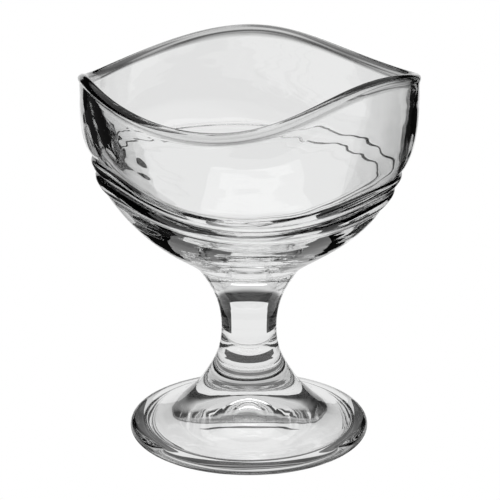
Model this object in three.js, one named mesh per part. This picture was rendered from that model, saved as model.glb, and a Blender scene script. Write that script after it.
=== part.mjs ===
// Footed dessert bowl in clear pressed glass: a three-cornered bowl with a wavy rim and two
// rounded ridges, on a waisted stem and a round foot with a bell-shaped hollow underneath.
// Millimetres, +Z up, origin at the middle of the plane that the foot rests on.
import * as THREE from "three";

// Heights of the joints and the main levels
const FOOT_JOINT_HEIGHT = 17;
const WAIST_HEIGHT = 34.5;
const BOWL_JOINT_HEIGHT = 54.5;
const RIM_HEIGHT = 114;

// Foot
const FOOT_RADIUS = 37.5;
const FOOT_EDGE_RADIUS = 2.2;
const REST_WIDTH = 2.4;
const REST_HEIGHT = 1;
const HOLLOW_DEPTH = 10;
const FOOT_JOINT_RADIUS = 15;

// Stem
const WAIST_RADIUS = 8.6;
const BOWL_JOINT_RADIUS = 15.8;

// Bowl
const RIM_RADIUS = 50;
const BEAD_RADIUS = 1.65;
const BEAD_WRAP = THREE.MathUtils.degToRad(45);
const WALL_BOTTOM_HEIGHT = 86.4;
const WALL_BOTTOM_RADIUS = 46.2;
const RIDGE_HEIGHT = 4.5;
const RIDGE_SWELL = 1.9;
const RIDGE_STEP = 1.5;
const RIDGE_COUNT = 2;
const INNER_SHOULDER_DROP = 3;
const SHOULDER_WALL = 4.2;
const FLOOR_THICKNESS = 6.5;

// Corners and waves of the bowl's wall
const CORNER_COUNT = 3;
const RIM_CORNER_ANGLE = THREE.MathUtils.degToRad(7);
const SWIRL = THREE.MathUtils.degToRad(29);
const CORNER_REACH = 3;
const TROUGH_ANGLE = THREE.MathUtils.degToRad(24.5);
const WAVE_HEIGHT = 4.1;
const RIM_OFFSET = 2.7;
const RIDGE_OFFSET = 0.7;
const RIM_TILT = 1.2;
const RIDGE_TILT = -2.3;
const ROUND_SHARE = 0.13;
const CORNERS_FULL_SHARE = 0.56;
const WAVE_POWER = 1.3;

// How each curve leaves its start and meets its end: shares of the way across and of the way up
const HOLLOW_BEND = bend(0.25, 0.05, 0.55, 0.85);
const FLARE_BEND = bend(0.55, 0.17, 0.83, 0.6);
const LOWER_STEM_BEND = bend(0.47, 0.26, 1, 0.52);
const UPPER_STEM_BEND = bend(0, 0.4, 0.35, 0.68);
const BELLY_BEND = bend(0.1, 0.16, 0.76, 0.52);
const WALL_BEND = bend(1.08, 0.19, 1.03, 0.6);
const INNER_WALL_BEND = bend(0, 0.5, 0.4, 0.82);
const INSIDE_BEND = bend(0.12, 0.5, 0.5, 1);
const RIDGE_LOW_SHARE = 0.2;
const RIDGE_TOP_SHARE = 0.9;

// Fineness of the surfaces
const BOWL_SIDES = 72;
const STEM_SIDES = 48;
const FOOT_SIDES = 60;
const CURVE_STEPS = 7;
const LONG_CURVE_STEPS = 9;
const BEAD_STEPS = 6;
const REST_STEPS = 3;

function bend(startAcross, startUp, endAcross, endUp) {
  return { start: at(startAcross, startUp), end: at(endAcross, endUp) };
}

function at(radius, height) {
  return new THREE.Vector2(radius, height);
}

// One clear glass for every piece.
function clearGlass() {
  return new THREE.MeshStandardMaterial({
    color: 0xeef2f1,
    roughness: 0.04,
    metalness: 0,
    transparent: true,
    opacity: 0.35,
  });
}

// A smooth curve between two points of a profile, bent at the given shares of the way.
function sweep(from, to, shares) {
  const span = to.clone().sub(from);
  return new THREE.CubicBezierCurve(
    from,
    shares.start.clone().multiply(span).add(from),
    shares.end.clone().multiply(span).add(from),
    to,
  );
}

// Points along a curve without its first point, which the profile already holds.
function along(curve, steps) {
  return curve.getPoints(steps).slice(1);
}

// A closed body turned about +Z from a profile of radius and height that starts and ends on the axis.
function turned(profile, sides) {
  const body = new THREE.LatheGeometry(profile, sides);
  body.rotateX(Math.PI / 2);
  body.deleteAttribute("normal");
  body.deleteAttribute("uv");
  return body;
}

// The foot: flared top, rounded edge, a flat ring to rest on and a bell-shaped hollow inside it.
function footProfile() {
  const edgeCentre = FOOT_RADIUS - FOOT_EDGE_RADIUS;
  const middle = at(0, HOLLOW_DEPTH);
  const restInner = edgeCentre - REST_WIDTH;
  const hollowEdge = at(restInner - REST_HEIGHT, REST_HEIGHT);
  const edgeTop = at(edgeCentre, 2 * FOOT_EDGE_RADIUS);
  const joint = at(FOOT_JOINT_RADIUS, FOOT_JOINT_HEIGHT);
  const edge = new THREE.EllipseCurve(
    edgeCentre,
    FOOT_EDGE_RADIUS,
    FOOT_EDGE_RADIUS,
    FOOT_EDGE_RADIUS,
    -Math.PI / 2,
    Math.PI / 2,
  );
  const restEdge = new THREE.EllipseCurve(
    restInner,
    REST_HEIGHT,
    REST_HEIGHT,
    REST_HEIGHT,
    Math.PI,
    1.5 * Math.PI,
  );
  return [
    middle,
    ...along(sweep(middle, hollowEdge, HOLLOW_BEND), LONG_CURVE_STEPS),
    ...along(restEdge, REST_STEPS),
    at(edgeCentre, 0),
    ...along(edge, BEAD_STEPS),
    ...along(sweep(edgeTop, joint, FLARE_BEND), CURVE_STEPS),
    at(0, FOOT_JOINT_HEIGHT),
  ];
}

// The stem: solid, drawn in at the waist and flared at both flat joint faces.
function stemProfile() {
  const footJoint = at(FOOT_JOINT_RADIUS, FOOT_JOINT_HEIGHT);
  const waist = at(WAIST_RADIUS, WAIST_HEIGHT);
  const bowlJoint = at(BOWL_JOINT_RADIUS, BOWL_JOINT_HEIGHT);
  return [
    at(0, FOOT_JOINT_HEIGHT),
    footJoint,
    ...along(sweep(footJoint, waist, LOWER_STEM_BEND), CURVE_STEPS),
    ...along(sweep(waist, bowlJoint, UPPER_STEM_BEND), CURVE_STEPS),
    at(0, BOWL_JOINT_HEIGHT),
  ];
}

// The bowl before its corners are pressed out: round belly, ridges, wall, rim bead and inside.
function bowlProfile() {
  const joint = at(BOWL_JOINT_RADIUS, BOWL_JOINT_HEIGHT);
  const wallBottom = at(WALL_BOTTOM_RADIUS, WALL_BOTTOM_HEIGHT);
  const ridgeRise = at(RIDGE_STEP, RIDGE_HEIGHT);
  const ridgeBottom = wallBottom.clone().addScaledVector(ridgeRise, -RIDGE_COUNT);
  const wallTop = at(BEAD_RADIUS, 0).rotateAround(at(0, 0), -BEAD_WRAP).add(at(RIM_RADIUS, RIM_HEIGHT));
  const rimInner = at(RIM_RADIUS - BEAD_RADIUS, RIM_HEIGHT);
  const shoulder = at(WALL_BOTTOM_RADIUS - SHOULDER_WALL, WALL_BOTTOM_HEIGHT - INNER_SHOULDER_DROP);
  const floor = at(0, BOWL_JOINT_HEIGHT + FLOOR_THICKNESS);
  const bead = new THREE.EllipseCurve(
    RIM_RADIUS,
    RIM_HEIGHT,
    BEAD_RADIUS,
    BEAD_RADIUS,
    -BEAD_WRAP,
    Math.PI,
  );
  const points = [
    at(0, BOWL_JOINT_HEIGHT),
    joint,
    ...along(sweep(joint, ridgeBottom, BELLY_BEND), LONG_CURVE_STEPS),
  ];
  for (let ridge = 0; ridge < RIDGE_COUNT; ridge++) {
    const low = ridgeBottom.clone().addScaledVector(ridgeRise, ridge);
    const top = low.clone().add(ridgeRise);
    const swell = new THREE.CubicBezierCurve(
      low,
      at(low.x + RIDGE_SWELL, low.y + RIDGE_HEIGHT * RIDGE_LOW_SHARE),
      at(top.x + RIDGE_SWELL, low.y + RIDGE_HEIGHT * RIDGE_TOP_SHARE),
      top,
    );
    points.push(...along(swell, CURVE_STEPS));
  }
  points.push(...along(sweep(wallBottom, wallTop, WALL_BEND), CURVE_STEPS));
  points.push(...along(bead, BEAD_STEPS));
  points.push(...along(sweep(rimInner, shoulder, INNER_WALL_BEND), CURVE_STEPS));
  points.push(...along(sweep(shoulder, floor, INSIDE_BEND), LONG_CURVE_STEPS));
  return points;
}

// How far a height lies on the way from one level to another, held between 0 and 1.
function climb(height, from, to) {
  return THREE.MathUtils.clamp((height - from) / (to - from), 0, 1);
}

// Presses the corners and the waves into a round bowl. The corners swirl round the bowl on the way up
// from the ridges to the rim, and the rim dips beside each of them and rises between them. The ridges
// and the rim each stand a little off the stem's axis and out of level. The lowest share stays round.
function pressCorners(body) {
  const ridgeBottomHeight = WALL_BOTTOM_HEIGHT - RIDGE_COUNT * RIDGE_HEIGHT;
  const roundHeight = THREE.MathUtils.lerp(BOWL_JOINT_HEIGHT, RIM_HEIGHT, ROUND_SHARE);
  const grown = (height, atRidges, atRim) =>
    THREE.MathUtils.lerp(
      atRidges * climb(height, roundHeight, ridgeBottomHeight),
      atRim,
      climb(height, WALL_BOTTOM_HEIGHT, RIM_HEIGHT),
    );
  const cornerHeight = THREE.MathUtils.lerp(BOWL_JOINT_HEIGHT, RIM_HEIGHT, CORNERS_FULL_SHARE);
  const position = body.getAttribute("position");
  const point = new THREE.Vector3();
  for (let i = 0; i < position.count; i++) {
    point.fromBufferAttribute(position, i);
    const radius = Math.hypot(point.x, point.y);
    const bearing = Math.atan2(point.y, point.x);
    const cornerAngle = RIM_CORNER_ANGLE + SWIRL * (1 - climb(point.z, ridgeBottomHeight, RIM_HEIGHT));
    const corner = Math.cos(CORNER_COUNT * (bearing - cornerAngle));
    const trough = Math.cos(CORNER_COUNT * (bearing - TROUGH_ANGLE));
    const reach = CORNER_REACH * THREE.MathUtils.smoothstep(point.z, roundHeight, cornerHeight);
    const stretch = radius > 0 ? 1 + (reach * corner) / radius : 1;
    const level = climb(point.z, roundHeight, RIM_HEIGHT);
    const drop = WAVE_HEIGHT * level ** WAVE_POWER * trough;
    const offset = grown(point.z, RIDGE_OFFSET, RIM_OFFSET);
    const rise = (grown(point.z, RIDGE_TILT, RIM_TILT) * point.x) / RIM_RADIUS;
    position.setXYZ(i, point.x * stretch - offset, point.y * stretch, point.z - drop + rise);
  }
  return body;
}

function piece(name, body) {
  const mesh = new THREE.Mesh(body, clearGlass());
  mesh.name = name;
  return mesh;
}

const dessertBowl = new THREE.Group();
dessertBowl.add(piece("foot", turned(footProfile(), FOOT_SIDES)));
dessertBowl.add(piece("stem", turned(stemProfile(), STEM_SIDES)));
dessertBowl.add(piece("bowl", pressCorners(turned(bowlProfile(), BOWL_SIDES))));

export default dessertBowl;
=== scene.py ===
"""Looks of a footed dessert bowl in clear pressed glass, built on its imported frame.

The bowl, the stem and the foot are turned from fine profiles. The bowl's corners, swirl and waves are then
pressed into it by one rule. The three pieces are fused in the real object, so the faces where they meet are
optically empty. Sizes of the glass are in millimetres, sizes of the studio in metres, and angles in degrees.
"""

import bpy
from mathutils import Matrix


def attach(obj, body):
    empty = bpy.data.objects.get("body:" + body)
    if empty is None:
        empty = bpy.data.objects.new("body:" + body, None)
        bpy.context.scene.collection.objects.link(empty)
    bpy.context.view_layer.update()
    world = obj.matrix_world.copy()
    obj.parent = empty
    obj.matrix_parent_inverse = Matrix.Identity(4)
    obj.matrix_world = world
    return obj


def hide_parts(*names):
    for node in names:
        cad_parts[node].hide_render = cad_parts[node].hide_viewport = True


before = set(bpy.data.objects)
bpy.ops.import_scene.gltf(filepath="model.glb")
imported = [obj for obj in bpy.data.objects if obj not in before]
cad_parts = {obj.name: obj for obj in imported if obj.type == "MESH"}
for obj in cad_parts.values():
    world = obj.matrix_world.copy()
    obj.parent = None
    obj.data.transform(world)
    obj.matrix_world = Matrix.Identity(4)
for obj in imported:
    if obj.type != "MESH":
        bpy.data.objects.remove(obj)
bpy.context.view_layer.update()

import logging
import math
from dataclasses import dataclass
from enum import Enum

import bpy
import numpy as np
from bpy.types import Material, Mesh, NodeSocket as Socket, Object
from mathutils import Vector

MM = 0.001
LOG = logging.getLogger("dessert_bowl")
Point = tuple[float, float, float]

# Metres within which two heights are the same, and the least radius that is divided by
SAME_HEIGHT = 1e-6
LEAST_RADIUS = 1e-9

# Angle between two faces past which their edge stays crisp
CRISP_ANGLE = 38.0

# How far a rounded crease is averaged and how far it fades out, in multiples of its reach
ROUND_SPAN = 3
FADE_SPAN = 4

# The values that a noise pattern mostly keeps between
NOISE_LOW, NOISE_HIGH = 0.3, 0.7

# Places of the colour sockets of a mix node, whose names are not unique
MIX_SHARE, MIX_FIRST, MIX_SECOND, MIX_COLOUR = 0, 6, 7, 2

BLACK = (0.0, 0.0, 0.0, 1.0)
WHITE = (1.0, 1.0, 1.0, 1.0)


class Surface(Enum):
    """Which finish a face of a glass piece takes, by its place among the piece's materials."""

    GLASS = 0
    JOINT = 1


class Ease(Enum):
    """How a share grows between two levels."""

    EVEN = "LINEAR"
    SMOOTH = "SMOOTHSTEP"


@dataclass(frozen=True)
class Bend:
    """How a profile curve leaves its start and meets its end, in shares of the way across and up."""

    start_across: float
    start_up: float
    end_across: float
    end_up: float

    def sweep(self, start: tuple[float, float], end: tuple[float, float], count: int = 400) -> np.ndarray:
        """Draws the curve between two points of a profile.

        Args:
            start: radius and height where the curve begins, in millimetres.
            end: radius and height where it ends.
            count: number of points.

        Returns:
            The points, one row each of radius and height.
        """
        first = np.array(start)
        last = np.array(end)
        span = last - first
        low = first + span * (self.start_across, self.start_up)
        high = first + span * (self.end_across, self.end_up)
        t = np.linspace(0.0, 1.0, count)[:, None]
        return (1 - t) ** 3 * first + 3 * (1 - t) ** 2 * t * low + 3 * (1 - t) * t**2 * high + t**3 * last


@dataclass(frozen=True)
class PaintedEdgeLine:
    """A line of painted shade along a rounded edge, by its angle from outwards, its width as an angle and its
    share.
    """

    angle: float
    width: float
    share: float


def arc(centre: tuple[float, float], radius: float, start: float, end: float, count: int = 200) -> np.ndarray:
    """Draws a round edge of a profile between two angles, which are measured from outwards."""
    angle = np.radians(np.linspace(start, end, count))
    return np.array(centre) + radius * np.stack([np.cos(angle), np.sin(angle)], axis=1)


def lengths(points: np.ndarray) -> np.ndarray:
    """Gives the way along a profile to each of its points."""
    return np.concatenate([[0.0], np.cumsum(np.linalg.norm(np.diff(points, axis=0), axis=1))])


def sampled(points: np.ndarray, ways: np.ndarray, picks: np.ndarray) -> np.ndarray:
    """Reads a profile at some ways along it, given the way to each of its points."""
    return np.stack([np.interp(picks, ways, column) for column in points.T], axis=1)


def softened(points: np.ndarray, low: float, high: float, reach: float, step: float = 0.05) -> np.ndarray:
    """Rounds the creases of a profile between two heights, as a pressed and fire-polished surface is.

    Args:
        points: the profile.
        low: height at which the rounding begins, in millimetres.
        high: height at which it ends.
        reach: how far the rounding spreads along the surface.
        step: spacing of the points that come back.

    Returns:
        The profile at an even spacing, with its creases rounded.
    """
    ways = lengths(points)
    even = np.linspace(0.0, ways[-1], int(ways[-1] / step) + 1)
    drawn = sampled(points, ways, even)
    half = int(ROUND_SPAN * reach / step)
    weights = np.exp(-0.5 * (np.arange(-half, half + 1) * step / reach) ** 2)
    weights /= weights.sum()
    padded = np.pad(drawn, ((half, half), (0, 0)), mode="reflect", reflect_type="odd")
    smooth = np.stack([np.convolve(column, weights, "valid") for column in padded.T], axis=1)
    fade = FADE_SPAN * reach
    height = drawn[:, 1]
    share = np.clip((height - low) / fade, 0, 1) * np.clip((high - height) / fade, 0, 1)
    ends = np.clip(np.minimum(even, ways[-1] - even) / fade, 0, 1)
    return drawn + (smooth - drawn) * (share * ends)[:, None]


def spaced(points: np.ndarray, spacing: np.ndarray | float) -> np.ndarray:
    """Picks points along a profile at one spacing, or at one for each stretch between two points."""
    count = np.concatenate([[0.0], np.cumsum(np.diff(lengths(points)) / spacing)])
    return sampled(points, count, np.linspace(0.0, count[-1], int(round(count[-1])) + 1))


def up_to_top(profile: np.ndarray) -> np.ndarray:
    """Tells which points of a profile come no later than its highest one."""
    return np.arange(len(profile)) <= np.argmax(profile[:, 1])


def painted_edge_shares(
    profile: np.ndarray,
    centre: tuple[float, float],
    reach: float,
    lines: tuple[PaintedEdgeLine, ...],
    least: float = 0.0,
) -> np.ndarray:
    """Tells where painted shade darkens a rounded edge of a profile in lines.

    Args:
        profile: radius and height in millimetres.
        centre: radius and height of the rounding's middle.
        reach: how far from the middle the edge goes.
        lines: the lines of painted shade.
        least: share of painted shade on the rest of the edge.

    Returns:
        A share from 0 to 1 for each point.
    """
    across, up = (profile - np.array(centre)).T
    angle = np.degrees(np.arctan2(up, across))
    drawn = np.full(len(profile), least)
    for line in lines:
        off = (angle - line.angle + 180) % 360 - 180
        drawn = np.maximum(drawn, line.share * np.exp(-((off / line.width) ** 2)))
    return np.where(np.hypot(across, up) < reach, drawn, 0)


def turned(name: str, profile: np.ndarray, sides: int, marks: dict[str, np.ndarray]) -> Mesh:
    """Turns a profile about the upright axis into a closed mesh whose faces point outwards.

    Args:
        name: name of the mesh.
        profile: radius and height in millimetres, from the axis, round the outside, back to the axis.
        sides: number of faces round the axis.
        marks: shares from 0 to 1 for each point of the profile, by what they are shares of.

    Returns:
        The mesh in metres, smooth all over, that holds the way along the profile and the marks at each point.
    """
    ring = profile[1:-1] * MM
    angle = np.arange(sides) * 2 * math.pi / sides
    rows = len(ring)
    points = np.empty((rows, sides, 3))
    points[:, :, 0] = ring[:, :1] * np.cos(angle)
    points[:, :, 1] = ring[:, :1] * np.sin(angle)
    points[:, :, 2] = ring[:, 1:]
    poles = np.array([[0, 0, profile[0, 1] * MM], [0, 0, profile[-1, 1] * MM]])
    corners = np.concatenate([points.reshape(-1, 3), poles])
    index = np.arange(rows * sides).reshape(rows, sides)
    ahead = np.roll(index, -1, axis=1)
    quads = np.stack([index[:-1], ahead[:-1], ahead[1:], index[1:]], axis=2).reshape(-1, 4)
    first = rows * sides
    start_fan = [(first, b, a) for a, b in zip(index[0].tolist(), ahead[0].tolist())]
    end_fan = [(first + 1, a, b) for a, b in zip(index[-1].tolist(), ahead[-1].tolist())]
    mesh = bpy.data.meshes.new(name)
    mesh.from_pydata(corners.tolist(), [], quads.tolist() + start_fan + end_fan)
    mesh.shade_smooth()
    for what, values in {"outline": lengths(profile) * MM, **marks}.items():
        spread = np.concatenate([np.repeat(values[1:-1], sides), [values[0], values[-1]]])
        mesh.attributes.new(what, "FLOAT", "POINT").data.foreach_set("value", spread)
    return mesh


def mark_joints(mesh: Mesh, heights: tuple[float, ...]) -> None:
    """Gives the flat joint faces of a piece their own finish and a crisp edge.

    Args:
        mesh: the piece's mesh, with the glass and the joint finish among its materials.
        heights: heights of the joint faces, in millimetres.
    """
    for face in mesh.polygons:
        on_joint = any(abs(face.center.z - height * MM) < SAME_HEIGHT for height in heights)
        face.material_index = Surface.JOINT.value if on_joint else Surface.GLASS.value
        face.use_smooth = not on_joint
    mesh.set_sharp_from_angle(angle=math.radians(CRISP_ANGLE))


def placed(mesh: Mesh) -> Object:
    """Puts a mesh into the scene as an object of its name at the origin.

    Args:
        mesh: the mesh.

    Returns:
        The object.
    """
    piece = bpy.data.objects.new(mesh.name, mesh)
    bpy.context.scene.collection.objects.link(piece)
    return piece


def handed_over(mesh: Mesh, joints: tuple[float, ...], node: str) -> Object:
    """Marks the joints of a finished glass mesh and lets it stand for its node of the frame.

    Args:
        mesh: the mesh.
        joints: heights of its joint faces, in millimetres.
        node: the node that it replaces.

    Returns:
        The glass piece.
    """
    mark_joints(mesh, joints)
    piece = placed(mesh)
    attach(piece, "root")
    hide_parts(node)
    return piece


class MaterialWriter:
    """Writes the nodes of one surface material round its main shader."""

    def __init__(self, name: str) -> None:
        """Starts a material that holds only its shader and its output.

        Args:
            name: name of the material.
        """
        self.material = bpy.data.materials.new(name)
        self.material.use_nodes = True
        self.nodes = self.material.node_tree.nodes
        self.links = self.material.node_tree.links
        self.shader = self.nodes["Principled BSDF"]

    def place(self) -> Socket:
        """Reads where on the object a point lies."""
        return self.nodes.new("ShaderNodeTexCoord").outputs["Object"]

    def noted(self, what: str) -> Socket:
        """Reads a number that the piece's mesh holds at each point.

        Args:
            what: name of the number.

        Returns:
            Its value.
        """
        note = self.nodes.new("ShaderNodeAttribute")
        note.attribute_name = what
        return note.outputs["Fac"]

    def noise(self, scale: float, detail: float, place: Socket | None = None) -> Socket:
        """Adds a soft random pattern.

        Args:
            scale: how many features there are to a metre.
            detail: how many finer layers it has.
            place: where it is read, if not at the point's place on the object.

        Returns:
            The pattern's value.
        """
        pattern = self.nodes.new("ShaderNodeTexNoise")
        pattern.inputs["Scale"].default_value = scale
        pattern.inputs["Detail"].default_value = detail
        self.links.new(self.place() if place is None else place, pattern.inputs["Vector"])
        return pattern.outputs["Fac"]

    def drawn_out(self, scale: float, closeness: float, detail: float) -> Socket:
        """Adds a random pattern that is drawn out round the piece.

        Args:
            scale: how many features there are to a metre round the piece.
            closeness: how many times closer they lie along the outline.
            detail: how many finer layers it has.

        Returns:
            The pattern's value.
        """
        across = self.nodes.new("ShaderNodeSeparateXYZ")
        along = self.nodes.new("ShaderNodeCombineXYZ")
        self.links.new(self.place(), across.inputs["Vector"])
        self.links.new(across.outputs["X"], along.inputs["X"])
        self.links.new(across.outputs["Y"], along.inputs["Y"])
        self.links.new(self.noted("outline"), along.inputs["Z"])
        mapping = self.nodes.new("ShaderNodeMapping")
        mapping.inputs["Scale"].default_value = (1, 1, closeness)
        self.links.new(along.outputs["Vector"], mapping.inputs["Vector"])
        return self.noise(scale, detail, mapping.outputs["Vector"])

    def product(self, first: Socket, second: Socket) -> Socket:
        """Multiplies two patterns.

        Args:
            first: one pattern.
            second: the other.

        Returns:
            The product.
        """
        node = self.nodes.new("ShaderNodeMath")
        node.operation = "MULTIPLY"
        self.links.new(first, node.inputs[0])
        self.links.new(second, node.inputs[1])
        return node.outputs["Value"]

    def spread(self, value: Socket, low: float, high: float) -> Socket:
        """Stretches a noise pattern over a range of values.

        Args:
            value: the pattern.
            low: value where the pattern is weakest.
            high: value where it is strongest.

        Returns:
            The stretched pattern.
        """
        node = self.nodes.new("ShaderNodeMapRange")
        node.inputs["From Min"].default_value = NOISE_LOW
        node.inputs["From Max"].default_value = NOISE_HIGH
        node.inputs["To Min"].default_value = low
        node.inputs["To Max"].default_value = high
        self.links.new(value, node.inputs["Value"])
        return node.outputs["Result"]

    def blended(self, share: Socket, first: tuple[float, ...], second: tuple[float, ...]) -> Socket:
        """Goes over from one colour to another.

        Args:
            share: how far it has gone over, from 0 to 1.
            first: colour at 0.
            second: colour at 1.

        Returns:
            The colour.
        """
        node = self.nodes.new("ShaderNodeMix")
        node.data_type = "RGBA"
        self.links.new(share, node.inputs[MIX_SHARE])
        node.inputs[MIX_FIRST].default_value = first
        node.inputs[MIX_SECOND].default_value = second
        return node.outputs[MIX_COLOUR]

    def bump(self, height: Socket, depth: float, under: Socket | None = None) -> Socket:
        """Adds relief that only the light sees.

        Args:
            height: the pattern of the relief.
            depth: its depth in metres.
            under: relief that it lies on, if any.

        Returns:
            The bent surface direction.
        """
        node = self.nodes.new("ShaderNodeBump")
        node.inputs["Distance"].default_value = depth
        self.links.new(height, node.inputs["Height"])
        if under is not None:
            self.links.new(under, node.inputs["Normal"])
        return node.outputs["Normal"]


@dataclass(frozen=True)
class DrawnPattern:
    """A random pattern drawn out round a piece, as strong at each point as a mark of the mesh says."""

    mark: str
    scale: float
    closeness: float
    detail: float
    low: float = -1.0
    high: float = 1.0

    def write(self, writer: MaterialWriter) -> Socket:
        """Writes the pattern into a material and gives its value."""
        drawn = writer.drawn_out(self.scale, self.closeness, self.detail)
        return writer.product(writer.spread(drawn, self.low, self.high), writer.noted(self.mark))


@dataclass(frozen=True)
class PressedGlass:
    """Clear soda-lime glass, fire-polished, with the ripple, waves and streaks that pressing leaves.

    Scales are in features to a metre and depths in metres.
    """

    tint: tuple[float, float, float, float] = (0.985, 0.988, 0.987, 1.0)
    # Painted shade: the colour goes dark in streaky lines along the rounded edges of the rim bead and the
    # foot
    painted_edge_shade_colour: tuple[float, float, float, float] = (0.04, 0.04, 0.04, 1.0)
    painted_edge_shade: DrawnPattern = DrawnPattern("painted_edge_shade", 22.0, 34.0, 2.0, 0.35, 1.9)
    refraction: float = 1.52
    polish_scale: float = 90.0
    polish_detail: float = 2.0
    smoothest: float = 0.0
    roughest: float = 0.02
    ripple_scale: float = 42.0
    ripple_detail: float = 1.0
    ripple_depth: float = 0.00025
    waves: DrawnPattern = DrawnPattern("waves", 85.0, 0.05, 0.0)
    wave_depth: float = 0.00012
    streaks: DrawnPattern = DrawnPattern("streaks", 18.0, 10.0, 1.0)
    streak_depth: float = 0.0001
    dimple_scale: float = 160.0
    dimple_detail: float = 0.0
    dimple_depth: float = 0.00002

    def material(self) -> Material:
        """Writes the glass.

        Returns:
            The material.
        """
        writer = MaterialWriter("clear pressed glass")
        sockets = writer.shader.inputs
        # The base colour holds painted shade along the rounded edges
        colour = writer.blended(self.painted_edge_shade.write(writer), self.tint, self.painted_edge_shade_colour)
        writer.links.new(colour, sockets["Base Color"])
        sockets["IOR"].default_value = self.refraction
        sockets["Transmission Weight"].default_value = 1.0
        clouds = writer.noise(self.polish_scale, self.polish_detail)
        polish = writer.spread(clouds, self.smoothest, self.roughest)
        writer.links.new(polish, sockets["Roughness"])
        relief = writer.bump(writer.noise(self.ripple_scale, self.ripple_detail), self.ripple_depth)
        relief = writer.bump(self.waves.write(writer), self.wave_depth, relief)
        relief = writer.bump(self.streaks.write(writer), self.streak_depth, relief)
        dimples = writer.noise(self.dimple_scale, self.dimple_detail)
        relief = writer.bump(dimples, self.dimple_depth, relief)
        writer.links.new(relief, sockets["Normal"])
        return writer.material


@dataclass(frozen=True)
class FusedJoint:
    """The faces where two glass pieces are fused: light goes straight on through them."""

    def material(self) -> Material:
        """Writes the empty joint.

        Returns:
            The material.
        """
        writer = MaterialWriter("fused joint")
        clear = writer.nodes.new("ShaderNodeBsdfTransparent")
        writer.links.new(clear.outputs["BSDF"], writer.nodes["Material Output"].inputs["Surface"])
        return writer.material


@dataclass(frozen=True)
class LitFloor:
    """A plain even surface that is lit enough to lose its shadows, from white floor to dark card."""

    name: str
    brightness: float

    def material(self) -> Material:
        """Writes the surface's finish.

        Returns:
            The material.
        """
        writer = MaterialWriter(self.name)
        sockets = writer.shader.inputs
        sockets["Base Color"].default_value = BLACK
        sockets["Roughness"].default_value = 1.0
        sockets["Specular IOR Level"].default_value = 0.0
        sockets["Emission Color"].default_value = WHITE
        sockets["Emission Strength"].default_value = self.brightness
        return writer.material


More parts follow.
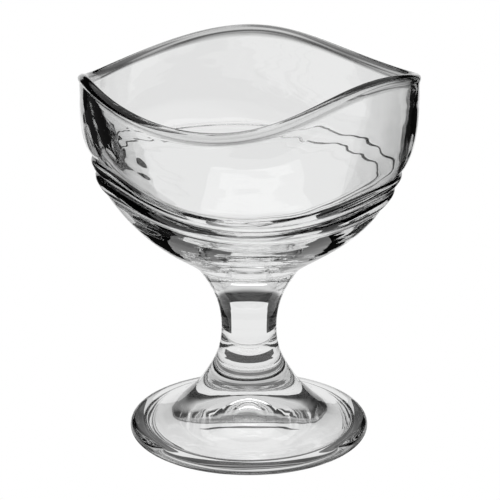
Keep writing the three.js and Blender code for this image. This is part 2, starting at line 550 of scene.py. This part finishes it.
class PressTree:
    """The node tree that presses corners, swirl and waves into a round bowl by rule."""

    def __init__(self, name: str) -> None:
        """Starts an empty tree with a geometry input and output.

        Args:
            name: name of the tree.
        """
        self.tree = bpy.data.node_groups.new(name, "GeometryNodeTree")
        self.identifiers: dict[str, str] = {}
        self.source = self.tree.nodes.new("NodeGroupInput")
        self.result = self.tree.nodes.new("NodeGroupOutput")
        self.take("Geometry", "NodeSocketGeometry")
        self.tree.interface.new_socket("Geometry", in_out="OUTPUT", socket_type="NodeSocketGeometry")

    def take(self, name: str, kind: str = "NodeSocketFloat") -> Socket:
        """Adds a named input to the tree.

        Args:
            name: the input's name.
            kind: the input's socket type.

        Returns:
            The socket that gives the input's value inside the tree.
        """
        item = self.tree.interface.new_socket(name, in_out="INPUT", socket_type=kind)
        self.identifiers[name] = item.identifier
        return self.source.outputs[name]

    def feed(self, value: Socket | float, socket: Socket) -> None:
        """Links a value to a socket, or sets the socket where the value is a plain number.

        Args:
            value: the value.
            socket: the socket that takes it.
        """
        if isinstance(value, Socket):
            self.tree.links.new(value, socket)
        else:
            socket.default_value = value

    def math(self, operation: str, *values: Socket | float) -> Socket:
        """Adds one step of arithmetic.

        Args:
            operation: name of the operation.
            values: what it works on, in order.

        Returns:
            The outcome.
        """
        node = self.tree.nodes.new("ShaderNodeMath")
        node.operation = operation
        for value, socket in zip(values, node.inputs):
            self.feed(value, socket)
        return node.outputs["Value"]

    def climb(self, height: Socket, low: Socket, high: Socket, ease: Ease = Ease.EVEN) -> Socket:
        """Adds the share of the way that a height lies between two levels.

        Args:
            height: the height.
            low: level of share 0.
            high: level of share 1.
            ease: how the share grows.

        Returns:
            The share, held between 0 and 1.
        """
        node = self.tree.nodes.new("ShaderNodeMapRange")
        node.interpolation_type = ease.value
        node.clamp = True
        self.feed(height, node.inputs["Value"])
        self.feed(low, node.inputs["From Min"])
        self.feed(high, node.inputs["From Max"])
        return node.outputs["Result"]

    def lobes(self, bearing: Socket, count: Socket, angle: Socket) -> Socket:
        """Adds waves round the bowl, between minus 1 and 1, the first with its crest at an angle."""
        return self.math("COSINE", self.math("MULTIPLY", count, self.math("SUBTRACT", bearing, angle)))

    def between(self, start: Socket, end: Socket, share: Socket) -> Socket:
        """Adds the value that lies a share of the way from one value to another."""
        return self.math("MULTIPLY_ADD", share, self.math("SUBTRACT", end, start), start)

    def write(self) -> None:
        """Writes the rule and ends the tree with the finishes."""
        count = self.take("Corner Count")
        reach = self.take("Corner Reach")
        rim_angle = self.take("Rim Corner Angle")
        swirl = self.take("Swirl")
        trough_angle = self.take("Trough Angle")
        wave = self.take("Wave Height")
        power = self.take("Wave Power")
        rim_offset = self.take("Rim Offset")
        ridge_offset = self.take("Ridge Offset")
        rim_tilt = self.take("Rim Tilt")
        ridge_tilt = self.take("Ridge Tilt")
        rim_radius = self.take("Rim Radius")
        joint = self.take("Joint Height")
        round_height = self.take("Round Height")
        full_height = self.take("Full Corner Height")
        ridge_height = self.take("Ridge Bottom Height")
        wall_height = self.take("Wall Bottom Height")
        rim_height = self.take("Rim Height")
        parts = self.tree.nodes.new("ShaderNodeSeparateXYZ")
        position = self.tree.nodes.new("GeometryNodeInputPosition")
        self.feed(position.outputs["Position"], parts.inputs["Vector"])
        x, y, z = parts.outputs
        radius = self.math("SQRT", self.math("ADD", self.math("MULTIPLY", x, x), self.math("MULTIPLY", y, y)))
        bearing = self.math("ARCTAN2", y, x)
        left_to_climb = self.math("SUBTRACT", 1.0, self.climb(z, ridge_height, rim_height))
        corner_angle = self.math("ADD", rim_angle, self.math("MULTIPLY", swirl, left_to_climb))
        corner = self.lobes(bearing, count, corner_angle)
        trough = self.lobes(bearing, count, trough_angle)
        grown = self.math("MULTIPLY", reach, self.climb(z, round_height, full_height, Ease.SMOOTH))
        off_axis = self.math("MAXIMUM", radius, LEAST_RADIUS)
        pushed = self.math("DIVIDE", self.math("MULTIPLY", grown, corner), off_axis)
        stretch = self.math("ADD", 1.0, pushed)
        level = self.climb(z, round_height, rim_height)
        drop = self.math("MULTIPLY", self.math("MULTIPLY", wave, self.math("POWER", level, power)), trough)
        to_ridges = self.climb(z, round_height, ridge_height)
        to_rim = self.climb(z, wall_height, rim_height)
        tilt = self.between(self.math("MULTIPLY", ridge_tilt, to_ridges), rim_tilt, to_rim)
        aside = self.between(self.math("MULTIPLY", ridge_offset, to_ridges), rim_offset, to_rim)
        lift = self.math("DIVIDE", self.math("MULTIPLY", tilt, x), rim_radius)
        join = self.tree.nodes.new("ShaderNodeCombineXYZ")
        self.feed(self.math("SUBTRACT", self.math("MULTIPLY", x, stretch), aside), join.inputs["X"])
        self.feed(self.math("MULTIPLY", y, stretch), join.inputs["Y"])
        self.feed(self.math("ADD", self.math("SUBTRACT", z, drop), lift), join.inputs["Z"])
        move = self.tree.nodes.new("GeometryNodeSetPosition")
        self.feed(self.source.outputs["Geometry"], move.inputs["Geometry"])
        self.feed(join.outputs["Vector"], move.inputs["Position"])
        off_joint = self.math("ABSOLUTE", self.math("SUBTRACT", z, joint))
        self.dress(move.outputs["Geometry"], self.math("LESS_THAN", off_joint, SAME_HEIGHT))

    def dress(self, pressed: Socket, at_joint: Socket) -> None:
        """Ends the tree: makes the bowl one real mesh and gives it its two finishes.

        Args:
            pressed: the pressed bowl.
            at_joint: whether a face lies on the joint.
        """
        real = self.tree.nodes.new("GeometryNodeRealizeInstances")
        self.feed(pressed, real.inputs["Geometry"])
        dressed = self.tree.nodes.new("GeometryNodeSetMaterial")
        self.feed(real.outputs["Geometry"], dressed.inputs["Geometry"])
        self.feed(self.take("Glass", "NodeSocketMaterial"), dressed.inputs["Material"])
        closed = self.tree.nodes.new("GeometryNodeSetMaterial")
        self.feed(dressed.outputs["Geometry"], closed.inputs["Geometry"])
        self.feed(at_joint, closed.inputs["Selection"])
        self.feed(self.take("Fused Joint", "NodeSocketMaterial"), closed.inputs["Material"])
        self.feed(closed.outputs["Geometry"], self.result.inputs["Geometry"])


@dataclass
class Foot:
    """The round foot: flared top, rounded edge, a flat ring to rest on and a bell-shaped hollow."""

    # Outline
    radius: float = 37.5
    edge_radius: float = 2.2
    rest_width: float = 2.4
    rest_height: float = 1.0
    hollow_depth: float = 10.0
    joint_radius: float = 15.0
    joint_height: float = 17.0
    hollow_bend: Bend = Bend(0.25, 0.05, 0.55, 0.85)
    flare_bend: Bend = Bend(0.55, 0.17, 0.83, 0.6)

    # Rounded creases, from under the foot to a margin below the joint, and fineness
    crease_round: float = 0.35
    crease_low: float = -10.0
    joint_margin: float = 1.0
    sides: int = 256
    spacing: float = 0.55
    fine_spacing: float = 0.3
    fine_below: float = 6.0

    # Streaks by radius, and lines of painted shade round the edge out to a multiple of its radius
    streak_radii: tuple[float, ...] = (15.0, 27.0, 31.0)
    streak_shares: tuple[float, ...] = (0.25, 0.25, 1.0)
    painted_edge_lines: tuple[PaintedEdgeLine, ...] = (PaintedEdgeLine(-20.0, 50.0, 1.0),)
    edge_reach: float = 1.3

    def profile(self) -> np.ndarray:
        """Draws the foot's outline.

        Returns:
            Radius and height in millimetres, from the hollow's middle round to the joint's middle.
        """
        edge = self.radius - self.edge_radius
        inner = edge - self.rest_width
        top = (edge, 2 * self.edge_radius)
        outline = np.concatenate([
            self.hollow_bend.sweep((0, self.hollow_depth), (inner - self.rest_height, self.rest_height)),
            arc((inner, self.rest_height), self.rest_height, 180, 270)[1:],
            arc((edge, self.edge_radius), self.edge_radius, -90, 90),
            self.flare_bend.sweep(top, (self.joint_radius, self.joint_height))[1:],
        ])
        outline = softened(outline, self.crease_low, self.joint_height - self.joint_margin, self.crease_round)
        outline[:, 1] = np.maximum(outline[:, 1], 0)
        middle = (outline[1:, 1] + outline[:-1, 1]) / 2
        spacing = np.where(middle < self.fine_below, self.fine_spacing, self.spacing)
        return np.concatenate([spaced(outline, spacing), [(0, self.joint_height)]])

    def build(self, glass: Material, joint: Material) -> Object:
        """Makes the foot and hands it to the frame.

        Args:
            glass: finish of the outside.
            joint: finish of the face under the stem.

        Returns:
            The foot.
        """
        profile = self.profile()
        streaks = np.interp(profile[:, 0], self.streak_radii, self.streak_shares)
        centre = (self.radius - self.edge_radius, self.edge_radius)
        painted_edge_shade = painted_edge_shares(profile, centre, self.edge_reach * self.edge_radius, self.painted_edge_lines)
        mesh = turned("glass_foot", profile, self.sides, {"streaks": streaks, "painted_edge_shade": painted_edge_shade})
        mesh.materials.append(glass)
        mesh.materials.append(joint)
        return handed_over(mesh, (self.joint_height,), "foot")


@dataclass
class Stem:
    """The solid stem, drawn in at the waist and flared at both joints, given by radius and height."""

    foot_joint: tuple[float, float] = (15.0, 17.0)
    waist: tuple[float, float] = (8.6, 34.5)
    bowl_joint: tuple[float, float] = (15.8, 54.5)
    lower_bend: Bend = Bend(0.47, 0.26, 1.0, 0.52)
    upper_bend: Bend = Bend(0.0, 0.4, 0.35, 0.68)
    sides: int = 256
    spacing: float = 0.4
    streak_share: float = 0.25

    def profile(self) -> np.ndarray:
        """Draws the stem's outline.

        Returns:
            Radius and height in millimetres, from the lower joint's middle up to the upper joint's middle.
        """
        lower = self.lower_bend.sweep(self.foot_joint, self.waist)
        upper = self.upper_bend.sweep(self.waist, self.bowl_joint)[1:]
        outline = spaced(np.concatenate([lower, upper]), self.spacing)
        return np.concatenate([[(0, self.foot_joint[1])], outline, [(0, self.bowl_joint[1])]])

    def build(self, glass: Material, joint: Material) -> Object:
        """Makes the stem and hands it to the frame.

        Args:
            glass: finish of the outside.
            joint: finish of the two end faces.

        Returns:
            The stem.
        """
        profile = self.profile()
        streaks = np.full(len(profile), self.streak_share)
        mesh = turned("glass_stem", profile, self.sides, {"streaks": streaks})
        mesh.materials.append(glass)
        mesh.materials.append(joint)
        return handed_over(mesh, (self.foot_joint[1], self.bowl_joint[1]), "stem")


@dataclass
class Bowl:
    """The pressed bowl: round belly, rounded ridges, cornered wall and wavy rim bead."""

    # Outline
    joint: tuple[float, float] = (15.8, 54.5)
    floor_height: float = 61.0
    rim_radius: float = 50.0
    rim_height: float = 114.0
    bead_radius: float = 1.58
    bead_wrap: float = 45.0
    wall_bottom: tuple[float, float] = (46.2, 86.4)
    ridge_step: float = 1.5
    ridge_height: float = 4.5
    ridge_swell: float = 1.9
    ridge_count: int = 2
    shoulder_drop: float = 3.0
    shoulder_wall: float = 4.2
    belly_bend: Bend = Bend(0.1, 0.16, 0.76, 0.52)
    wall_bend: Bend = Bend(1.08, 0.19, 1.03, 0.6)
    inner_wall_bend: Bend = Bend(0.0, 0.5, 0.4, 0.82)
    inside_bend: Bend = Bend(0.12, 0.5, 0.5, 1.0)
    ridge_low_share: float = 0.2
    ridge_top_share: float = 0.9

    # Rounded creases, from below the ridges to above the rim, and fineness
    crease_round: float = 0.3
    crease_below: float = 3.0
    crease_above: float = 9.0
    sides: int = 288
    spacing: float = 0.72
    bead_spacing: float = 0.25
    bead_margin: float = 0.5
    ridge_spacing: float = 0.17
    ridge_margin_in: float = 0.5
    ridge_margin_up: float = 0.6

    # Corners and waves that are pressed in
    corner_count: int = 3
    corner_reach: float = 3.0
    rim_corner_angle: float = 7.0
    swirl: float = 29.0
    trough_angle: float = 24.5
    wave_height: float = 4.1
    wave_power: float = 1.3
    rim_offset: float = 2.7
    ridge_offset: float = 0.7
    rim_tilt: float = 1.2
    ridge_tilt: float = -2.3
    round_share: float = 0.13
    full_share: float = 0.56

    # Streaks and waves by height, and lines of painted shade round the bead out to a multiple of its radius
    streak_heights: tuple[float, ...] = (54.5, 60.0, 77.0, 88.0, 92.0, 111.0, 112.5)
    streak_shares: tuple[float, ...] = (0.25, 0.6, 0.6, 0.4, 0.35, 0.35, 1.0)
    wave_heights: tuple[float, ...] = (86.0, 90.0, 108.0, 112.0)
    wave_shares: tuple[float, ...] = (0.0, 1.0, 1.0, 0.0)
    painted_edge_lines: tuple[PaintedEdgeLine, ...] = (
        PaintedEdgeLine(-45.0, 14.0, 0.9),
        PaintedEdgeLine(130.0, 52.0, 0.9),
        PaintedEdgeLine(178.0, 16.0, 0.95),
    )
    least_painted_edge_shade: float = 0.12
    edge_reach: float = 1.3

    def ridge_bottom(self) -> tuple[float, float]:
        """Gives the radius and height of the lowest ridge's lower edge, in millimetres."""
        radius, height = self.wall_bottom
        return radius - self.ridge_count * self.ridge_step, height - self.ridge_count * self.ridge_height

    def ridge(self, number: int) -> np.ndarray:
        """Draws one rounded ridge.

        Args:
            number: which ridge, from the lowest.

        Returns:
            Radius and height in millimetres, upwards.
        """
        radius, height = self.ridge_bottom()
        low = (radius + number * self.ridge_step, height + number * self.ridge_height)
        top = (low[0] + self.ridge_step, low[1] + self.ridge_height)
        swell = self.ridge_swell / self.ridge_step
        return Bend(swell, self.ridge_low_share, 1 + swell, self.ridge_top_share).sweep(low, top)

    def profile(self) -> np.ndarray:
        """Draws the outline of the bowl before its corners are pressed out.

        Returns:
            Radius and height in millimetres, from the joint's middle round the rim to the floor's middle.
        """
        wrap = math.radians(self.bead_wrap)
        bead = (self.rim_radius, self.rim_height)
        outer = (bead[0] + self.bead_radius * math.cos(wrap), bead[1] - self.bead_radius * math.sin(wrap))
        inner = (self.rim_radius - self.bead_radius, self.rim_height)
        shoulder = (self.wall_bottom[0] - self.shoulder_wall, self.wall_bottom[1] - self.shoulder_drop)
        outline = np.concatenate([
            self.belly_bend.sweep(self.joint, self.ridge_bottom()),
            *[self.ridge(number)[1:] for number in range(self.ridge_count)],
            self.wall_bend.sweep(self.wall_bottom, outer)[1:],
            arc(bead, self.bead_radius, -self.bead_wrap, 180)[1:],
            self.inner_wall_bend.sweep(inner, shoulder)[1:],
            self.inside_bend.sweep(shoulder, (0, self.floor_height))[1:],
        ])
        low = self.ridge_bottom()[1] - self.crease_below
        outline = softened(outline, low, self.rim_height + self.crease_above, self.crease_round)
        return np.concatenate([[(0, self.joint[1])], spaced(outline, self.spacings(outline))])

    def spacings(self, outline: np.ndarray) -> np.ndarray:
        """Tells how closely the outline is drawn: closest on the ridges, then on the rim bead.

        Args:
            outline: the outline.

        Returns:
            The spacing in millimetres of each stretch between two points.
        """
        radius, height = outline.T
        outside = np.arange(len(outline)) < len(outline) // 2
        past_belly = radius > self.ridge_bottom()[0] - self.ridge_margin_in
        under_wall = height < self.wall_bottom[1] + self.ridge_margin_up
        on_bead = height > self.rim_height - self.bead_margin
        plain = np.where(on_bead, self.bead_spacing, self.spacing)
        return np.where(outside & past_belly & under_wall, self.ridge_spacing, plain)[1:]

    def streaks(self, profile: np.ndarray) -> np.ndarray:
        """Tells how streaky the glass is along the outline: most on the belly and the rim bead.

        Args:
            profile: the outline.

        Returns:
            A share from 0 to 1 for each point.
        """
        height = profile[:, 1]
        outside = np.interp(height, self.streak_heights, self.streak_shares)
        inside = np.interp(height, self.streak_heights[-2:], self.streak_shares[-2:])
        return np.where(up_to_top(profile), outside, inside)

    def waves(self, profile: np.ndarray) -> np.ndarray:
        """Tells how wavy the glass is along the outline, which is only on the outside of the wall."""
        outside = np.interp(profile[:, 1], self.wave_heights, self.wave_shares)
        return np.where(up_to_top(profile), outside, 0.0)

    def painted_edge_shade(self, profile: np.ndarray) -> np.ndarray:
        """Tells where painted shade darkens the rim bead in lines: under it outside, over its top and down
        its inside.
        """
        centre, reach = (self.rim_radius, self.rim_height), self.edge_reach * self.bead_radius
        return painted_edge_shares(profile, centre, reach, self.painted_edge_lines, self.least_painted_edge_shade)

    def sizes(self) -> dict[str, float]:
        """Gives the press rule's inputs by name.

        Returns:
            The inputs, in metres and radians.
        """
        span = self.rim_height - self.joint[1]
        return {
            "Corner Count": self.corner_count,
            "Corner Reach": self.corner_reach * MM,
            "Rim Corner Angle": math.radians(self.rim_corner_angle),
            "Swirl": math.radians(self.swirl),
            "Trough Angle": math.radians(self.trough_angle),
            "Wave Height": self.wave_height * MM,
            "Wave Power": self.wave_power,
            "Rim Offset": self.rim_offset * MM,
            "Ridge Offset": self.ridge_offset * MM,
            "Rim Tilt": self.rim_tilt * MM,
            "Ridge Tilt": self.ridge_tilt * MM,
            "Rim Radius": self.rim_radius * MM,
            "Joint Height": self.joint[1] * MM,
            "Round Height": (self.joint[1] + self.round_share * span) * MM,
            "Full Corner Height": (self.joint[1] + self.full_share * span) * MM,
            "Ridge Bottom Height": self.ridge_bottom()[1] * MM,
            "Wall Bottom Height": self.wall_bottom[1] * MM,
            "Rim Height": self.rim_height * MM,
        }

    def build(self, glass: Material, joint: Material) -> Object:
        """Turns the bowl, presses its corners and hands it to the frame.

        Args:
            glass: finish of the outside and the inside.
            joint: finish of the face over the stem.

        Returns:
            The bowl.
        """
        profile = self.profile()
        marks = {"streaks": self.streaks(profile), "painted_edge_shade": self.painted_edge_shade(profile), "waves": self.waves(profile)}
        blank = placed(turned("bowl_blank", profile, self.sides, marks))
        press = PressTree("press corners")
        press.write()
        modifier = blank.modifiers.new("press corners", "NODES")
        modifier.node_group = press.tree
        for name, value in self.sizes().items():
            modifier[press.identifiers[name]] = float(value)
        modifier[press.identifiers["Glass"]] = glass
        modifier[press.identifiers["Fused Joint"]] = joint
        drawn = bpy.context.evaluated_depsgraph_get()
        mesh = bpy.data.meshes.new_from_object(blank.evaluated_get(drawn))
        mesh.name = "glass_bowl"
        blank.modifiers.remove(modifier)
        bpy.data.objects.remove(blank)
        return handed_over(mesh, (self.joint[1],), "bowl")


def square(half: float, level: float) -> list[Point]:
    """Gives the four corners of a level square round the upright axis."""
    return [(-half, -half, level), (half, -half, level), (half, half, level), (-half, half, level)]


def round_axis(angle: float, radius: float, level: float) -> Point:
    """Gives the point at an angle from straight behind the bowl, clockwise as seen from above."""
    turn = math.radians(angle)
    return radius * math.sin(turn), radius * math.cos(turn), level


@dataclass(frozen=True)
class SoftBox:
    """A soft area light that faces a point on the bowl."""

    name: str
    place: Point
    width: float
    height: float
    power: float
    aim: Point = (0.0, 0.0, 0.06)

    def build(self) -> None:
        """Hangs the light."""
        lamp = bpy.data.lights.new(self.name, "AREA")
        lamp.shape = "RECTANGLE"
        lamp.size = self.width
        lamp.size_y = self.height
        lamp.energy = self.power
        light = bpy.data.objects.new(self.name, lamp)
        bpy.context.scene.collection.objects.link(light)
        light.location = self.place
        light.rotation_euler = (Vector(self.aim) - Vector(self.place)).to_track_quat("-Z", "Y").to_euler()


@dataclass
class Card:
    """A flat card, out of the camera's own sight, that turns with the camera."""

    name: str
    corners: list[Point]
    faces: list[tuple[int, ...]]
    brightness: float

    def build(self, camera: Object) -> None:
        """Sets the card up.

        Args:
            camera: the camera that the card turns with.
        """
        mesh = bpy.data.meshes.new(self.name)
        mesh.from_pydata(self.corners, [], self.faces)
        mesh.materials.append(LitFloor(self.name, self.brightness).material())
        card = placed(mesh)
        card.visible_camera = False
        turn = card.constraints.new("COPY_ROTATION")
        turn.target = camera
        turn.use_x = False
        turn.use_y = False


@dataclass(frozen=True)
class Shade:
    """A part of a flat ring, drawn out to a point at both ends: a painted shadow on the floor or a painted
    glow on a card.

    Its angles are from straight behind the bowl, clockwise as seen from above.
    """

    name: str
    inner: float
    outer: float
    start: float
    end: float
    brightness: float
    steps: int = 96

    def strip(self, level: float) -> tuple[list[Point], list[tuple[int, ...]]]:
        """Draws the ring.

        Args:
            level: height that it lies at.

        Returns:
            Its corners and its faces.
        """
        angles = np.linspace(self.start, self.end, self.steps + 1).tolist()
        fullness = np.sqrt(np.sin(np.linspace(0.0, math.pi, self.steps + 1))).tolist()
        corners = []
        for angle, full in zip(angles, fullness):
            inner = self.outer - (self.outer - self.inner) * full
            corners += [round_axis(angle, inner, level), round_axis(angle, self.outer, level)]
        return corners, [(2 * i, 2 * i + 1, 2 * i + 3, 2 * i + 2) for i in range(self.steps)]


@dataclass
class Studio:
    """The floor, the cards, the light and the camera round the bowl, set as for clear glass on white.

    The camera sees white. The glass sees a grey sweep and a low grey wall, with dark cards to both sides, dim
    shades under the foot, a dark band round the room and a bright ceiling, so its edges turn into dark lines.
    """

    # Floor and sweep, and how far under the foot each layer lies
    floor_size: float = 6.0
    floor_gap: float = 0.0003
    floor_brightness: float = 1.0
    sweep_gap: float = 0.00025
    sweep_brightness: float = 0.83
    card_gap: float = 0.0002
    shade_gap: float = 0.00015

    # Inner edge of the side cards, round the foot and then straight back, by angle and radius
    wing_radius: float = 0.069
    wing_turn: tuple[float, ...] = (90, 75, 60, 45, 28)
    wing_side: tuple[tuple[float, float], ...] = ((28, 0.1), (27.5, 0.2), (27, 0.32), (27, 0.6), (26, 3.2))
    wing_reach: float = 3.2
    wing_brightness: float = 0.01

    # Painted shadows on the floor under the foot and the stem, with paler rings among them, and a painted
    # glow on the left card
    shades: tuple[Shade, ...] = (
        Shade("first contact shade", 0.0283, 0.0287, 70, 290, 0.06),
        Shade("first contact half shade", 0.0287, 0.0291, 70, 290, 0.5),
        Shade("second contact shade", 0.0291, 0.0297, 60, 300, 0.08),
        Shade("second contact half shade", 0.0297, 0.03, 60, 300, 0.4),
        Shade("third contact shade", 0.03, 0.0314, 50, 310, 0.08),
        Shade("right contact shade", 0.0314, 0.0385, 60, 172, 0.1),
        Shade("left contact shade", 0.0314, 0.0385, 188, 300, 0.1),
        Shade("stem shade", 0.011, 0.0175, -60, 60, 0.09),
        Shade("left glow", 0.22, 0.36, -80, -27, 0.035),
    )

    # Wall behind and room above, by angles seen from the bowl
    wall_distance: float = 2.9
    wall_rise: float = 9.0
    wall_spread: float = 26.0
    dark_below: float = 20.0
    bright_above: float = 31.0
    horizon_grey: float = 0.01
    ceiling_grey: float = 0.65
    light: SoftBox = SoftBox("top softbox", (0.0, 0.1, 1.5), 1.0, 1.0, 4.0)

    # Camera, with its lens and film in millimetres, and how often light turns in the glass
    lens: float = 151.7
    film_width: float = 36.0
    nearest: float = 0.01
    distance: float = 0.65
    elevation: float = 18.8
    aim_height: float = 0.0596
    shift_across: float = 0.002
    light_bounces: int = 24
    inner_bounces: int = 7

    def lay_floor(self) -> None:
        """Lays the pale floor just under the foot."""
        mesh = bpy.data.meshes.new("floor")
        mesh.from_pydata(square(self.floor_size / 2, -self.floor_gap), [], [(0, 1, 2, 3)])
        mesh.materials.append(LitFloor("pale floor", self.floor_brightness).material())
        floor = placed(mesh)

    def set_cards(self, camera: Object) -> None:
        """Lays the dark side cards, the shades and the grey sweep, and stands the grey wall behind.

        Args:
            camera: the camera that they turn with.
        """
        level = -self.card_gap
        edge = [(angle, self.wing_radius) for angle in self.wing_turn] + list(self.wing_side)
        outline = [round_axis(angle, radius, level) for angle, radius in edge]
        outline += [(self.wing_reach, outline[-1][1], level), (self.wing_reach, 0.0, level)]
        for name, side in (("left card", -1), ("right card", 1)):
            corners = [(side * x, y, z) for x, y, z in outline]
            Card(name, corners, [tuple(range(len(corners)))], self.wing_brightness).build(camera)
        for shade in self.shades:
            corners, faces = shade.strip(-self.shade_gap)
            Card(shade.name, corners, faces, shade.brightness).build(camera)
        sweep = square(self.floor_size / 2, -self.sweep_gap)
        Card("grey sweep", sweep, [(0, 1, 2, 3)], self.sweep_brightness).build(camera)
        back = self.wall_distance
        half = back * math.tan(math.radians(self.wall_spread))
        top = back * math.tan(math.radians(self.wall_rise))
        wall = [(-half, back, 0), (half, back, 0), (half, back, top), (-half, back, top)]
        Card("grey wall", wall, [(0, 1, 2, 3)], self.sweep_brightness).build(camera)

    def fill_room(self) -> None:
        """Gives the room a dark band round it, a bright ceiling, and white past the floor's end."""
        world = bpy.data.worlds.new("room")
        world.use_nodes = True
        nodes, links = world.node_tree.nodes, world.node_tree.links
        room = nodes["Background"]
        past = nodes.new("ShaderNodeBackground")
        for ground in (room, past):
            ground.inputs["Color"].default_value = WHITE
        parts = nodes.new("ShaderNodeSeparateXYZ")
        links.new(nodes.new("ShaderNodeTexCoord").outputs["Generated"], parts.inputs["Vector"])
        rise = nodes.new("ShaderNodeMapRange")
        rise.interpolation_type = Ease.SMOOTH.value
        rise.inputs["From Min"].default_value = math.sin(math.radians(self.dark_below))
        rise.inputs["From Max"].default_value = math.sin(math.radians(self.bright_above))
        rise.inputs["To Min"].default_value = self.horizon_grey
        rise.inputs["To Max"].default_value = self.ceiling_grey
        links.new(parts.outputs["Z"], rise.inputs["Value"])
        links.new(rise.outputs["Result"], room.inputs["Strength"])
        either = nodes.new("ShaderNodeMixShader")
        share, for_glass, for_camera = either.inputs
        links.new(nodes.new("ShaderNodeLightPath").outputs["Is Camera Ray"], share)
        links.new(room.outputs["Background"], for_glass)
        links.new(past.outputs["Background"], for_camera)
        links.new(either.outputs["Shader"], nodes["World Output"].inputs["Surface"])
        bpy.context.scene.world = world

    def set_camera(self) -> Object:
        """Puts the camera at the photograph's viewing angle.

        Returns:
            The camera.
        """
        data = bpy.data.cameras.new("camera")
        data.lens = self.lens
        data.sensor_width = self.film_width
        data.shift_x = self.shift_across
        data.clip_start = self.nearest
        camera = bpy.data.objects.new("camera", data)
        bpy.context.scene.collection.objects.link(camera)
        up = math.radians(self.elevation)
        aim = Vector((0, 0, self.aim_height))
        camera.location = aim + self.distance * Vector((0, -math.cos(up), math.sin(up)))
        camera.rotation_euler = (aim - camera.location).to_track_quat("-Z", "Y").to_euler()
        bpy.context.scene.camera = camera
        return camera

    def build(self) -> None:
        """Sets up everything round the bowl."""
        self.lay_floor()
        self.fill_room()
        self.set_cards(self.set_camera())
        self.light.build()
        bpy.context.scene.view_settings.view_transform = "Standard"
        paths = bpy.context.scene.cycles
        paths.max_bounces = self.light_bounces
        paths.transmission_bounces = self.light_bounces
        paths.glossy_bounces = self.inner_bounces


def main() -> None:
    """Builds the studio and the three glass pieces, and logs the faces of each."""
    logging.basicConfig(level=logging.INFO, format="%(message)s")
    glass = PressedGlass().material()
    joint = FusedJoint().material()
    Studio().build()
    for part in (Foot(), Stem(), Bowl()):
        piece = part.build(glass, joint)
        LOG.info("%s: %d faces", piece.name, len(piece.data.polygons))


if __name__ == "__main__":
    main()
